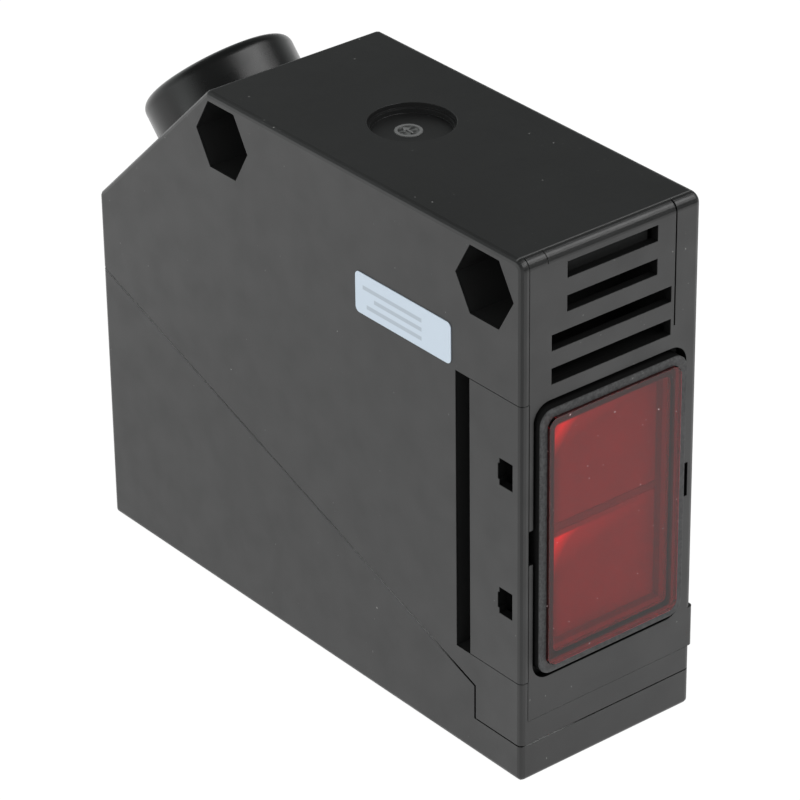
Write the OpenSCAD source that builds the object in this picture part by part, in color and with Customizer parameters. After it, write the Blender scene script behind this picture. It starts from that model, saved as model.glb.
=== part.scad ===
// Retroreflective photoelectric sensor in a narrow block housing.
// The part stands on its terminal cover, with the optical face towards -Y, the cable gland on the
// sloped corner towards +Y and +Z, and the nut pockets open on the -X side. The origin lies on the
// resting face, midway between the sides and midway between the optical face and the rear face.

/* [Body] */
// Width across the two large side faces
body_w = 31; // [30:0.5:35]
// Depth from the optical face to the rear face
body_d = 94; // [93:0.5:100]
// Height from the resting face to the top face
body_h = 80; // [79.5:0.5:86]
// Wall thickness of the housing and the cover
wall = 2; // [1.6:0.1:2.4]
// Thickness of the top wall
top_wall = 2.6; // [2.2:0.1:3]
// Rounding of the outer edges
edge_r = 0.8; // [0.4:0.1:1.2]
// Rounding of the edge between the top and the optical face
brow_r = 1.5; // [1:0.1:1.6]
// Length of the sloped corner along the top
slope_y = 27; // [25:0.5:28]
// Height of the sloped corner
slope_z = 26; // [25:0.5:28]

/* [Cover seam] */
// Distance from the optical face to the step in the seam
step_back = 9.6; // [9:0.2:11]
// Height of the seam at the upper end of the step
seam_low = 11.1; // [10.6:0.1:12]
// Height of the cover's toe under the optical face
toe_h = 5.8; // [5:0.1:6.4]
// Open joint above the toe
toe_gap = 0.2; // [0.1:0.05:0.4]
// Rise of the seam towards the rear, in degrees
seam_rise = 20.1; // [18:0.1:21]
// Open joint between the cover and the housing
seam_gap = 0.35; // [0.2:0.05:0.5]
// Width of the sealing cord in the seam
seal_w = 1; // [0.8:0.1:1.2]
// Depth of the groove that holds the sealing cord
seal_depth = 1; // [0.8:0.1:1.4]

/* [Mounting holes] */
// Distance from the optical face to the front mounting hole
mount_front = 7.5; // [7.4:0.05:8.4]
// Distance from the rear face to the rear mounting hole
mount_rear = 30.45; // [30:0.05:34]
// Depth of the mounting holes below the top face
mount_drop = 6.35; // [6.3:0.05:7]
// Radius of the mounting holes
mount_r = 3.2; // [2.7:0.1:3.3]
// Size of the nut pockets across their flats
nut_af = 10.1; // [8.2:0.1:10.2]
// Depth of the nut pockets
nut_depth = 7.5; // [6:0.1:8]
// Wall around a nut pocket
nut_wall = 0.8; // [0.6:0.1:1]

/* [Optical face] */
// Thickness of the front frame
frame_t = 1.3; // [1:0.1:1.4]
// Distance between the wings' inner faces, half of it to the plate's left edge
plate_w = 28.4; // [27.8:0.1:28.6]
// Height of the plate's lower edge
plate_low = 9.6; // [9:0.1:10.4]
// How far the plate's lower right end stands out of the side face
foot_proud = 0.4; // [0.1:0.05:0.6]
// Width of the window opening in the frame
opening_w = 26.9; // [26.7:0.1:27.2]
// Height of the window opening in the frame
opening_h = 42.8; // [42.4:0.1:43.4]
// Height of the middle of the window
window_z = 36.95; // [36.6:0.05:37.4]
// Corner radius of the window opening
opening_r = 2.7; // [2:0.1:3]
// Width of the joint between the opening and the bezel, at the sides
bezel_gap = 0.5; // [0.3:0.05:0.7]
// Width of the joint above and below the bezel
bezel_gap_end = 0.95; // [0.5:0.05:1.2]
// How far the bezel stands out of the optical face
bezel_proud = 0.75; // [0.2:0.05:0.9]
// Width of the bezel's ring
bezel_ring = 1.25; // [1.1:0.05:1.4]
// How far the window pane stands out of the bezel
pane_proud = 0.4; // [0:0.1:0.6]
// Thickness of the window pane
pane_t = 1.2; // [1:0.1:1.4]
// Height of the release notches beside the window
notch_h = 5.3; // [4:0.1:6]
// Width left between the release notches and the frame's corner line
notch_stop = 0.05; // [0.05:0.05:0.4]

/* [Front slots] */
// Height of each front slot
slot_h = 2.4; // [1.6:0.1:2.8]
// Distance between neighbouring front slots
slot_pitch = 4.95; // [4.5:0.05:5.1]
// Depth of the upper front slot's middle below the top face
slot_drop = 3.4; // [3.2:0.1:3.8]
// Length of the two upper front slots
slot_short = 15.7; // [12:0.1:18]
// Length of the two lower front slots
slot_long = 20.9; // [18:0.1:21.4]
// Half the width of the tongue between the two slits
tongue_half = 11.1; // [10.9:0.1:11.6]
// Width of the slit on the tongue's open side
slit_open = 0.25; // [0.15:0.05:0.5]
// Width of the slit on the tongue's closed side
slit_closed = 0.08; // [0.05:0.01:0.15]

/* [Side wings] */
// Height of the wings' lower edge
wing_low = 15.9; // [15.6:0.1:16.6]
// Height of the wings' upper edge
wing_top = 58.8; // [58.4:0.1:59.4]
// Depth of the wings behind the optical face
wing_d = 10.55; // [10:0.05:11]
// Width of the open groove behind each wing
groove_w = 2.9; // [2:0.1:3.2]
// Depth of the open groove behind each wing
groove_d = 2.6; // [2.2:0.1:2.7]
// Height of the square holes in the wings
hole_h = 4.1; // [3:0.1:5]
// Width of the square holes in the wings
hole_w = 2.7; // [2:0.1:3.2]
// Distance between the two square holes of a wing
hole_pitch = 20; // [16:0.5:24]

/* [Cable gland] */
// Outer radius of the gland's collar
collar_r = 11.7; // [11.2:0.1:11.9]
// Height of the gland's collar
collar_h = 7.15; // [6.8:0.05:7.3]
// Rounding of the collar's rim
collar_round = 1.6; // [0.8:0.1:2]
// Shift of the gland down the slope from its middle
gland_shift = 0.4; // [0:0.1:0.8]
// Radius of the gland's threaded shank
shank_r = 9.3; // [9:0.1:9.6]
// Size of the lock nut across its flats
locknut_af = 22; // [21.4:0.1:22.2]
// Thickness of the lock nut
locknut_t = 3; // [2.4:0.1:3.2]
// Radius of the cable hole in the sealing ring
cable_r = 4.5; // [3.5:0.1:5]

/* [Top recess and label] */
// Radius of the round recess in the top face
recess_r = 6.15; // [5:0.05:6.5]
// Depth of the round recess
recess_d = 1.4; // [1.1:0.1:1.7]
// Distance of the recess in front of the body's middle
recess_fwd = 6; // [4:0.5:8]
// Radius of the mould's date stamp in the recess
stamp_r = 1.95; // [1.6:0.05:2.4]
// Length of the type label
label_w = 20; // [16:0.5:22]
// Height of the type label
label_h = 6.2; // [5:0.1:7]
// Thickness of the type label
label_t = 0.12; // [0.08:0.01:0.2]

/* [Inner parts] */
// Thickness of the printed circuit boards
board_t = 1.6; // [1:0.1:1.6]
// Number of terminals in the terminal block
poles = 5; // [3:1:5]
// Distance between neighbouring terminals
pole_pitch = 4.6; // [4:0.1:4.8]
// Radius of the trimmer's rotor
rotor_r = 2.2; // [1.8:0.1:2.4]
// Running clearance of the moving inner parts
run_clear = 0.06; // [0.04:0.01:0.1]
// Travel of the mode switch
switch_travel = 2; // [1.5:0.1:2.5]

/* [Hidden] */
$fn = 64;
eps = 0.01;
reach = 60;

black = [0.07, 0.07, 0.072];
satin = [0.05, 0.05, 0.052];
rubber = [0.03, 0.03, 0.03];
steel = [0.7, 0.7, 0.72];
brass = [0.8, 0.65, 0.3];
board_green = [0.05, 0.3, 0.15];

front_y = -body_d / 2;
rear_y = body_d / 2;
half_w = body_w / 2;
inner_w = body_w - 2 * wall;
fit_gap = 0.1;

// seam between the housing and the cover
step_y = front_y + step_back;
seam_len = (rear_y - step_y) / cos(seam_rise);
function seam_z(y) = seam_low + (y - step_y) * tan(seam_rise);
function seam_line(s) = [
    [rear_y + reach, seam_z(rear_y + reach) + s / cos(seam_rise)],
    [step_y - s, seam_z(step_y - s) + s / cos(seam_rise)],
    [step_y - s, toe_h + s * toe_gap / seam_gap],
    [front_y - reach, toe_h + s * toe_gap / seam_gap]];

// mounting holes
mount_z = body_h - mount_drop;
mount_front_y = front_y + mount_front;
mount_rear_y = rear_y - mount_rear;
nut_corner_r = nut_af / 2 / cos(30);
pocket_boss_r = nut_corner_r + nut_wall;
tube_r = mount_r + 1.5;

// optical face
plate_back = front_y + frame_t;
bezel_w = opening_w - 2 * bezel_gap;
bezel_h = opening_h - 2 * bezel_gap_end;
bezel_r = opening_r - bezel_gap;
pane_w = bezel_w - 2 * bezel_ring - fit_gap;
pane_h = bezel_h - 2 * bezel_ring - fit_gap;
pane_r = 1.5;
pane_front = front_y - bezel_proud - pane_proud;
pane_back = pane_front + pane_t;
gasket_w = 0.45;
bezel_round = 0.15;

// wings
wing_y = front_y + wing_d;
groove_back = wing_y + groove_w;
wing_in = plate_w / 2;
neck_half = half_w - groove_d;
neck_back = groove_back + 0.5 - fit_gap;
hole_front = front_y + 1.8;
wing_root = 0.5;
edge_groove = 0.12;
foot_r = min(edge_r, frame_t / 2);
foot_x = half_w + foot_proud - foot_r;
wing_through = 2 * (half_w - wing_in) + 1;
hook_t = 1;
hook_in = 0.4;
hook_y = hole_front + hole_w + 0.4 + hook_t / 2;

// date stamp
stamp_h = 0.12;
stamp_ring = 0.45;
stamp_shift = [-0.3, 0.4];

// electronics chamber and wiring chamber
floor_t = 2;
partition_y = rear_y - 36;
partition_t = 2;
slope_wall = 3;
roof_z = body_h - top_wall;
slot_room_back = neck_back - wall;
slot_room_half = wing_in - 2.2;
lip_half = slot_short / 2 - 0.6;
lip_drop = 4.8;
lip_t = 2;
slit_low = body_h - slot_drop - 3 * slot_pitch;

// optics
carrier_w = pane_w - 2 * gasket_w - fit_gap;
carrier_h = pane_h - 2 * gasket_w - fit_gap;
carrier_front = pane_back;
carrier_flange_t = 1.8;
carrier_back = neck_back + 10;
carrier_waist = 1.5;
carrier_rim = 1.2;
rim_step = 0.3;
light_well = 2.3;
divider_t = 1.1;
cell_w = carrier_w - 2 * carrier_rim;
cell_h = (carrier_h - 2 * carrier_rim - divider_t) / 2;
cell_shift = (cell_h + divider_t) / 2;
cell_z = [window_z + cell_shift, window_z - cell_shift];
cell_back_wall = 3;
emitter_r = 2.5;
filter_t = 0.4;
lens_edge_t = 1.2;
lens_dome = 2.6;
lens_ledge = 0.5;
filter_front = carrier_front + light_well;
lens_front = filter_front + filter_t;
lens_back = lens_front + lens_edge_t;
optics_board_w = carrier_w - 1;
optics_board_h = carrier_h - 4;
shield_d = 2;

// cover screws
screw_r = 1.5;
screw_head_r = 2.75;
screw_head_h = 2.2;
insert_r = 2.1;
insert_l = 4.5;
insert_in = 0.5;
screw_grip = 8;
screw_boss_r = 3.4;
screw_boss_h = insert_in + insert_l + 1;
front_screw_y = carrier_back + board_t + shield_d + 0.4 + screw_boss_r;
// the rear boss grows out of the rear wall
boss_in_wall = 0.6;
cover_screw_y = [front_screw_y, rear_y - wall + boss_in_wall - screw_boss_r];

// gland
gland_tilt = atan2(slope_z, slope_y);
shank_l = slope_wall + locknut_t + 1.5;
seal_r = collar_r - 3.5;
gland_seat = -2;
gland_seal_l = 5;
gland_washer_t = 0.8;
gland_screw_l = 3;

// main board
main_board_x = half_w - wall - 4.5;
main_board_y0 = carrier_back + board_t + shield_d + 0.5;
main_board_y1 = partition_y - 0.3;
main_board_z0 = seam_z(partition_y) + floor_t + 1.5;
main_board_z1 = roof_z - 2;
post_z = [main_board_z0 + 4, main_board_z1 - 3];
post_y = main_board_y0 + 3.2;
face_x = main_board_x - board_t;

// small screws, the holes they cut their thread in and the holes they pass through
board_screw_r = 0.85;
board_screw_head_r = 1.9;
board_screw_head_h = 1.2;
board_screw_in = 3;
board_thread_r = board_screw_r + 0.05;
board_hole_r = board_screw_r + 0.25;
carrier_screw_r = 1;
carrier_screw_l = 4;

// terminal compartment, measured along the seam from its step
block_d = 10;
block_h = 9;
control_w = 22;
control_d = 9;
control_t = 1.2;
part_gap = 0.6;
control_v = (front_screw_y + screw_boss_r - step_y) / cos(seam_rise) + part_gap + control_d / 2;
block_v = control_v + (control_d + block_d) / 2 + 2 * part_gap;
trimmer_x = -5;
trimmer_side = 6.6;
trimmer_h = 4.6;
switch_x = 5;
switch_w = 8;
switch_d = 5;
switch_h = 4;
slider_w = 2;

module on_side_profile(width) {
    rotate([90, 0, 90]) linear_extrude(height = width, center = true) children();
}

module rounded_rect(w, h, r) {
    square([w - 2 * r, h], center = true);
    square([w, h - 2 * r], center = true);
    for (x = [-1, 1], y = [-1, 1])
        translate([x * (w / 2 - r), y * (h / 2 - r)]) circle(r);
}

// Extrudes a front view from the plane y0 to the plane y1
module front_plate(y0, y1) {
    translate([0, y1, 0]) rotate([90, 0, 0]) linear_extrude(height = y1 - y0) children();
}

module box_between(low, high) {
    translate(low) cube(high - low);
}

// Outer form of the whole body with all its outer edges rounded
module body_blank() {
    corners = [[front_y + brow_r, body_h - brow_r, brow_r],
               [front_y + edge_r, edge_r, edge_r],
               [rear_y - edge_r, edge_r, edge_r],
               [rear_y - edge_r, body_h - slope_z - edge_r / 2, edge_r],
               [rear_y - slope_y - edge_r / 2, body_h - edge_r, edge_r]];
    hull()
        for (turn = [0, 30, 60, 90], p = corners)
            translate([0, p[0], p[1]]) rotate([0, 90, 0])
                cylinder(r = max(p[2] - edge_r * (1 - cos(turn)), 0.04),
                         h = body_w - 2 * edge_r * (1 - sin(turn)), center = true, $fn = 32);
}

// Side profile of everything above the seam, s away from it
module above_seam(s) {
    polygon(concat(seam_line(s), [[front_y - reach, body_h + reach],
                                  [rear_y + reach, body_h + reach]]));
}

// Side profile of everything below the seam, s away from it
module below_seam(s) {
    polygon(concat(seam_line(-s), [[front_y - reach, -reach], [rear_y + reach, -reach]]));
}

// Puts children in the seam's own plane: y runs up the seam and z stands off it
module on_seam(v = 0) {
    translate([0, step_y, seam_low]) rotate([seam_rise, 0, 0]) translate([0, v, 0]) children();
}

// Puts children on the sloped corner, with z along the gland's axis
module on_slope() {
    translate([0, rear_y - slope_y / 2, body_h - slope_z / 2]) rotate([-gland_tilt, 0, 0])
        translate([0, gland_shift, 0]) children();
}

module seal_path(width) {
    v0 = wall / 2 + seam_gap;
    v1 = seam_len - wall / 2 - 0.3;
    mid = (v0 + v1) / 2;
    translate([0, mid]) difference() {
        rounded_rect(body_w - wall + width, v1 - v0 + width, wall);
        rounded_rect(body_w - wall - width, v1 - v0 - width, wall - width);
    }
}

module wings(clear = 0) {
    for (side = [-1, 1])
        translate([side * (wing_in + reach / 2 - clear), 0, 0])
            translate([-reach / 2, front_y - 1, wing_low - clear])
                cube([reach, wing_d + 1, wing_top - wing_low + 2 * clear]);
}

module plate_room(clear = 0) {
    // the plate stands tight on its lower edge
    box_between([-wing_in - clear, front_y - 1, plate_low - clear * 0.3],
                [half_w + 1, plate_back + clear, body_h + 1]);
}

// Profile of a chamber in the side view, between two depths, under the roof and the slope
module chamber_profile(y0, y1, floor_s) {
    inside = slope_wall / cos(gland_tilt);
    intersection() {
        polygon([[y0, -reach], [y1, -reach], [y1, body_h + reach], [y0, body_h + reach]]);
        above_seam(floor_s);
        polygon([[front_y, -reach], [rear_y - wall, -reach],
                 [rear_y - wall, body_h - slope_z + wall * tan(gland_tilt) - inside],
                 [rear_y - slope_y - (inside - top_wall) / tan(gland_tilt),
                  roof_z],
                 [front_y, roof_z]]);
    }
}

module chambers() {
    // electronics chamber, closed below by a floor along the seam
    on_side_profile(inner_w) chamber_profile(neck_back, partition_y, floor_t);
    // wiring chamber, open below into the cover
    on_side_profile(inner_w)
        chamber_profile(partition_y + partition_t, rear_y - wall, -reach / 2);
}

// Tubes round the mounting holes, wider round the nut pockets
module mount_bosses() {
    for (y = [mount_front_y, mount_rear_y])
        translate([-half_w, y, mount_z]) rotate([0, 90, 0]) {
            cylinder(r = tube_r, h = body_w);
            cylinder(r = pocket_boss_r, h = nut_depth + 1.2);
        }
    // each tube is solid up to the roof on the side of the nearest wall, as no pocket can be moulded there
    box_between([-half_w, mount_front_y, mount_z], [half_w, mount_front_y + tube_r, body_h]);
    box_between([-half_w, mount_rear_y - tube_r, mount_z], [half_w, mount_rear_y, body_h]);
}

module mount_holes() {
    for (y = [mount_front_y, mount_rear_y])
        translate([-half_w - 1, y, mount_z]) rotate([0, 90, 0]) {
            cylinder(r = mount_r, h = body_w + 2);
            // flats up and down
            rotate([0, 0, 30]) cylinder(r = nut_corner_r, h = nut_depth + 1, $fn = 6);
        }
}

// Pocket behind the front slots, with the lip that the tongue hooks over
module slot_room() {
    difference() {
        box_between([-slot_room_half, plate_back - eps, wing_top + 1.2],
                    [slot_room_half, slot_room_back, roof_z]);
        box_between([-lip_half, plate_back - 1, body_h - lip_drop], [lip_half, plate_back + lip_t, body_h]);
    }
}

module housing_bosses() {
    // bosses for the cover screws' inserts
    for (y = cover_screw_y)
        translate([0, y, seam_z(y)]) cylinder(r = screw_boss_r, h = screw_boss_h);
    // posts and edge guides for the main board
    for (z = post_z)
        translate([main_board_x, post_y, z]) rotate([0, 90, 0])
            cylinder(r = 2.6, h = half_w - main_board_x - eps);
    for (x = [face_x - 1.5 - fit_gap, main_board_x + fit_gap])
        box_between([x, partition_y - 1.8, main_board_z0 + 1],
                    [x + 1.5, partition_y + eps, main_board_z1 - 2]);
}

module housing_solid() {
    difference() {
        intersection() {
            body_blank();
            on_side_profile(body_w + 2) above_seam(seam_gap / 2);
        }
        chambers();
        slot_room();
        // open space above the cover's toe
        box_between([-inner_w / 2, front_y + wall, 0],
                    [inner_w / 2, step_y - wall, wing_low - 2]);
        // bore for the optics carrier and the seat of its flange
        front_plate(front_y - 1, neck_back + 1)
            translate([0, window_z]) rounded_rect(carrier_w + fit_gap, carrier_h + fit_gap, 1);
    }
    intersection() {
        body_blank();
        union() {
            mount_bosses();
            housing_bosses();
        }
        on_side_profile(body_w + 2) above_seam(seam_gap / 2);
    }
}

module housing() {
    color(black) difference() {
        housing_solid();
        mount_holes();
        // seat of the front frame, its wings and the grooves behind them
        plate_room(fit_gap);
        wings(fit_gap);
        for (side = [-1, 1])
            translate([side * (neck_half + reach / 2), 0, 0])
                translate([-reach / 2, front_y - 1, wing_low - fit_gap])
                    cube([reach, groove_back - front_y + 1, wing_top - wing_low + 2 * fit_gap]);
        // pockets for the wings' hooks
        for (side = [-1, 1], z = [-1, 1])
            translate([side * neck_half, hook_y, window_z + z * hole_pitch / 2])
                cube([2 * hook_in + 2 * fit_gap, hook_t + 2 * fit_gap, hole_h + 2 * fit_gap],
                     center = true);
        // round stepped recess in the top
        translate([0, -recess_fwd, body_h - recess_d / 2]) cylinder(r = recess_r, h = recess_d);
        translate([0, -recess_fwd, body_h - recess_d])
            cylinder(r = recess_r - 0.45, h = recess_d);
        // gland hole through the slope
        on_slope() cylinder(r = shank_r + fit_gap, h = 4 * slope_wall, center = true);
        // holes for the inserts
        for (y = cover_screw_y)
            translate([0, y, seam_z(y) - 4])
                cylinder(r = insert_r, h = insert_in + insert_l + 4);
        // holes for the carrier's screws, the main board's screws and the terminals' pins
        for (s = [-1, 1])
            translate([s * carrier_screw_x, neck_back + 1, carrier_screw_z])
                rotate([90, 0, 0]) cylinder(r = carrier_screw_r + 0.05, h = carrier_screw_l + 1.5);
        for (z = post_z)
            translate([main_board_x - 1, post_y, z]) rotate([0, 90, 0])
                cylinder(r = board_thread_r, h = board_screw_in + 1.5);
        on_seam(block_v)
            for (i = [0:poles - 1])
                translate([pole_x(i), 0, 0]) cylinder(r = 0.7, h = 12, center = true);
    }
    color(black) {
        // raised ring and arrow of the mould's date stamp
        translate([stamp_shift[0], stamp_shift[1] - recess_fwd, body_h - recess_d]) {
            difference() {
                translate([0, 0, -stamp_h]) cylinder(r = stamp_r, h = 2 * stamp_h);
                translate([0, 0, -1]) cylinder(r = stamp_r - stamp_ring, h = 3);
            }
            cube([stamp_ring * 0.7, stamp_r, 2 * stamp_h], center = true);
            translate([0, stamp_r / 3, -stamp_h]) rotate([0, 0, 90])
                cylinder(r = stamp_r / 3, h = 2 * stamp_h, $fn = 3);
        }
    }
}

function pole_x(i) = (i - (poles - 1) / 2) * pole_pitch;

module terminal_cover() {
    seat_drop = screw_grip;
    color(black) difference() {
        union() {
            difference() {
                intersection() {
                    body_blank();
                    on_side_profile(body_w + 2) below_seam(seam_gap / 2);
                }
                // wedge-shaped room under the seam
                box_between([-inner_w / 2, step_y + wall, wall],
                            [inner_w / 2, rear_y - wall, body_h]);
                // room inside the toe
                box_between([-inner_w / 2, front_y + wall, wall],
                            [inner_w / 2, step_y - wall / 2, body_h]);
            }
            intersection() {
                on_side_profile(body_w) below_seam(seam_gap / 2);
                for (y = cover_screw_y)
                    translate([0, y, wall / 2]) cylinder(r = screw_boss_r, h = body_h);
            }
            // tab that slides in behind the housing's lip
            box_between([-8, front_y + wall + 0.2, wall / 2],
                        [8, front_y + wall + 1.7, toe_h + 2.4]);
        }
        // sealing groove
        on_seam() translate([0, 0, -seam_gap / 2 - seal_depth])
            linear_extrude(height = 4) seal_path(seal_w);
        // screw holes with deep counterbores
        for (y = cover_screw_y)
            translate([0, y, 0]) {
                translate([0, 0, -1]) cylinder(r = screw_r + 0.2, h = body_h);
                translate([0, 0, -1])
                    cylinder(r = screw_head_r + 0.4, h = seam_z(y) - seat_drop + 1);
            }
    }
}

module cover_seal() {
    color(rubber) on_seam() translate([0, 0, -seam_gap / 2 - seal_depth])
        linear_extrude(height = seal_depth + seam_gap) seal_path(seal_w - 0.1);
}

// Pan head screw with a cross recess, its head's seat at z = 0 and its shank towards +z
module pan_screw(r, length, head_r, head_h) {
    difference() {
        union() {
            cylinder(r = r, h = length, $fn = 32);
            translate([0, 0, -head_h]) cylinder(r1 = head_r - 0.4, r2 = head_r, h = head_h);
        }
        for (turn = [0, 90])
            rotate([0, 0, turn]) translate([0, 0, -head_h])
                cube([head_r * 1.2, head_r * 0.3, head_h], center = true);
    }
}

module cover_screws() {
    color(steel)
        for (y = cover_screw_y)
            translate([0, y, seam_z(y) - screw_grip])
                pan_screw(screw_r, screw_grip + insert_in + insert_l - 0.5, screw_head_r, screw_head_h);
}

module threaded_inserts() {
    color(brass)
        for (y = cover_screw_y)
            translate([0, y, seam_z(y) + insert_in]) difference() {
                cylinder(r = insert_r, h = insert_l);
                translate([0, 0, -1]) cylinder(r = screw_r + 0.05, h = insert_l + 2);
            }
}

module front_slots() {
    for (i = [0:3])
        translate([0, body_h - slot_drop - i * slot_pitch])
            square([i < 2 ? slot_short : slot_long, slot_h], center = true);
}

module front_frame() {
    color(black) {
        difference() {
            intersection() {
                body_blank();
                union() {
                    plate_room();
                    wings();
                    // root of the left wing, which grows out of the plate
                    box_between([-half_w, front_y - 1, wing_low],
                                [-wing_in + wing_root, plate_back, wing_top]);
                }
            }
            // window opening with its two release notches
            front_plate(front_y - 1, plate_back + 1) {
                translate([0, window_z]) rounded_rect(opening_w, opening_h, opening_r);
                translate([0, window_z])
                    square([2 * (wing_in - notch_stop), notch_h], center = true);
                front_slots();
            }
            // open slit on one side of the tongue, and the fine line of the closed one
            translate([tongue_half - slit_open / 2, front_y - 1, slit_low])
                cube([slit_open, frame_t + 2, body_h]);
            translate([-tongue_half - slit_closed / 2, front_y - 1, body_h - brow_r])
                cube([slit_closed, frame_t + 2, body_h]);
            // square core-outs in the wings, the upper side relieved
            for (side = [-1, 1], z = [-1, 1])
                translate([side * half_w, hole_front + hole_w / 2, window_z + z * hole_pitch / 2 + 0.5]) {
                    cube([wing_through, hole_w, hole_h], center = true);
                    translate([0, hole_w / 2, 0])
                        cube([wing_through, 0.6, hole_h * 0.6], center = true);
                }
            // fine line where the left wing turns the corner
            box_between([-wing_in - edge_groove / 2, front_y - 1, wing_low],
                        [-wing_in + edge_groove / 2, front_y + edge_groove, wing_top]);
        }
        // lower right end of the plate, standing a little out of the side face
        translate([foot_x, front_y + foot_r, plate_low])
            cylinder(r = foot_r, h = wing_low - plate_low);
        box_between([wing_in, front_y, plate_low], [foot_x, plate_back, wing_low]);
        box_between([wing_in, front_y + foot_r, plate_low], [foot_x + foot_r, plate_back, wing_low]);
        // hooks on the wings' inner faces
        for (side = [-1, 1], z = [-1, 1])
            translate([side * (neck_half + wing_in) / 2, hook_y, window_z + z * hole_pitch / 2])
                cube([wing_in - neck_half + 2 * hook_in, hook_t, hole_h], center = true);
    }
}

module window_bezel() {
    color(black) difference() {
        hull() {
            for (turn = [0, 45, 90])
                front_plate(front_y - bezel_proud + bezel_round * (1 - sin(turn)), plate_back)
                    translate([0, window_z])
                        rounded_rect(bezel_w - 2 * bezel_round * (1 - cos(turn)),
                                     bezel_h - 2 * bezel_round * (1 - cos(turn)),
                                     bezel_r - bezel_round * (1 - cos(turn)));
        }
        front_plate(front_y - bezel_proud - 1, plate_back + 1) translate([0, window_z])
            rounded_rect(pane_w + fit_gap, pane_h + fit_gap, pane_r);
    }
}

module window_pane() {
    color([0.75, 0.05, 0.06, 0.7]) front_plate(pane_front, pane_back)
        translate([0, window_z]) rounded_rect(pane_w, pane_h, pane_r);
}

module window_gasket() {
    color([0.4, 0.08, 0.09]) front_plate(pane_back, plate_back)
        translate([0, window_z]) difference() {
            rounded_rect(pane_w, pane_h, pane_r);
            rounded_rect(carrier_w + fit_gap, carrier_h + fit_gap, 1);
        }
}

// Shallow well behind the pane that both light cells share, its rim stepped
module shared_well() {
    translate([0, 0, window_z]) {
        front_plate(carrier_front - 1, carrier_front + rim_step)
            rounded_rect(cell_w + 2 * rim_step, 2 * cell_h + divider_t + 2 * rim_step, 1);
        front_plate(carrier_front - 1, carrier_front + light_well)
            square([cell_w, 2 * cell_h + divider_t], center = true);
    }
}

// One light cell of the carrier: a straight mouth for the lens, then a taper
module light_cell(z) {
    mouth = lens_back + fit_gap;
    front_plate(filter_front - eps, mouth) translate([0, z]) square([cell_w, cell_h], center = true);
    hull() {
        front_plate(mouth - eps, mouth) translate([0, z])
            square([cell_w - 2 * lens_ledge, cell_h - 2 * lens_ledge], center = true);
        front_plate(carrier_back - cell_back_wall - eps, carrier_back - cell_back_wall)
            translate([0, z]) square([cell_w * 0.45, cell_h * 0.45], center = true);
    }
    translate([0, carrier_back + 1, z]) rotate([90, 0, 0])
        cylinder(r = emitter_r + fit_gap, h = cell_back_wall + 2);
}

carrier_screw_z = window_z + carrier_h / 2 + 1.9;
carrier_screw_x = carrier_w / 4;
optics_screw_x = optics_board_w / 2 - 2.2;
optics_screw_z = optics_board_h / 2 - 2;

module optics_carrier() {
    flange_back = neck_back + carrier_flange_t;
    color(satin) difference() {
        union() {
            front_plate(carrier_front, flange_back)
                translate([0, window_z]) rounded_rect(carrier_w, carrier_h, 0.9);
            // flange against the neck, high enough above for its two screws
            front_plate(neck_back, flange_back)
                translate([0, window_z + 1.6]) rounded_rect(carrier_w + 1.4, carrier_h + 4.4, 1.5);
            front_plate(flange_back - eps, carrier_back)
                translate([0, window_z]) rounded_rect(carrier_w, carrier_h - 2 * carrier_waist, 0.9);
        }
        shared_well();
        for (z = cell_z) light_cell(z);
        for (s = [-1, 1]) {
            translate([s * carrier_screw_x, flange_back + 1, carrier_screw_z])
                rotate([90, 0, 0]) cylinder(r = carrier_screw_r + 0.1, h = carrier_flange_t + 2);
            translate([s * optics_screw_x, carrier_back + 1, window_z - s * optics_screw_z])
                rotate([90, 0, 0]) cylinder(r = board_thread_r, h = board_screw_in + 3);
        }
    }
}

module carrier_screws() {
    color(steel)
        for (s = [-1, 1])
            translate([s * carrier_screw_x, neck_back + carrier_flange_t, carrier_screw_z])
                rotate([90, 0, 0])
                    pan_screw(carrier_screw_r, carrier_flange_t + carrier_screw_l, 1.6, 1.3);
}

module light_filter(z) {
    color([0.25, 0.03, 0.04, 0.8]) front_plate(filter_front, lens_front)
        translate([0, z]) square([cell_w - 2 * fit_gap, cell_h - 2 * fit_gap], center = true);
}

module emitter_filter() {
    light_filter(cell_z[0]);
}

module receiver_filter() {
    light_filter(cell_z[1]);
}

// Lens with a flat front and a shallow dome behind
module flat_convex_lens(z) {
    dome_half = cell_h / 2 - 1;
    dome_r = (dome_half * dome_half + lens_dome * lens_dome) / (2 * lens_dome);
    color([0.9, 0.9, 0.95, 0.5]) {
        front_plate(lens_front, lens_back)
            translate([0, z]) square([cell_w - 2 * fit_gap, cell_h - 2 * fit_gap], center = true);
        intersection() {
            translate([0, lens_back + lens_dome - dome_r, z]) sphere(r = dome_r);
            box_between([-reach, lens_back - eps, z - reach], [reach, lens_back + lens_dome, z + reach]);
        }
    }
}

module emitter_lens() {
    flat_convex_lens(cell_z[0]);
}

module receiver_lens() {
    flat_convex_lens(cell_z[1]);
}

module emitter_led() {
    color([0.9, 0.85, 0.85, 0.8]) translate([0, carrier_back, cell_z[0]]) rotate([90, 0, 0]) {
        cylinder(r = emitter_r, h = 4.5);
        translate([0, 0, 4.5]) intersection() {
            sphere(r = emitter_r);
            cylinder(r = emitter_r + 1, h = emitter_r + 1);
        }
    }
}

module photodiode() {
    color([0.1, 0.1, 0.12]) front_plate(carrier_back - 1.8, carrier_back)
        translate([0, cell_z[1]]) square([3.2, 3.2], center = true);
}

module receiver_shield() {
    y0 = carrier_back + board_t;
    color(steel) difference() {
        front_plate(y0, y0 + shield_d) translate([0, cell_z[1]]) square([9, 7], center = true);
        front_plate(y0 - 1, y0 + shield_d - 0.4)
            translate([0, cell_z[1]]) square([8.2, 6.2], center = true);
    }
}

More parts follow.
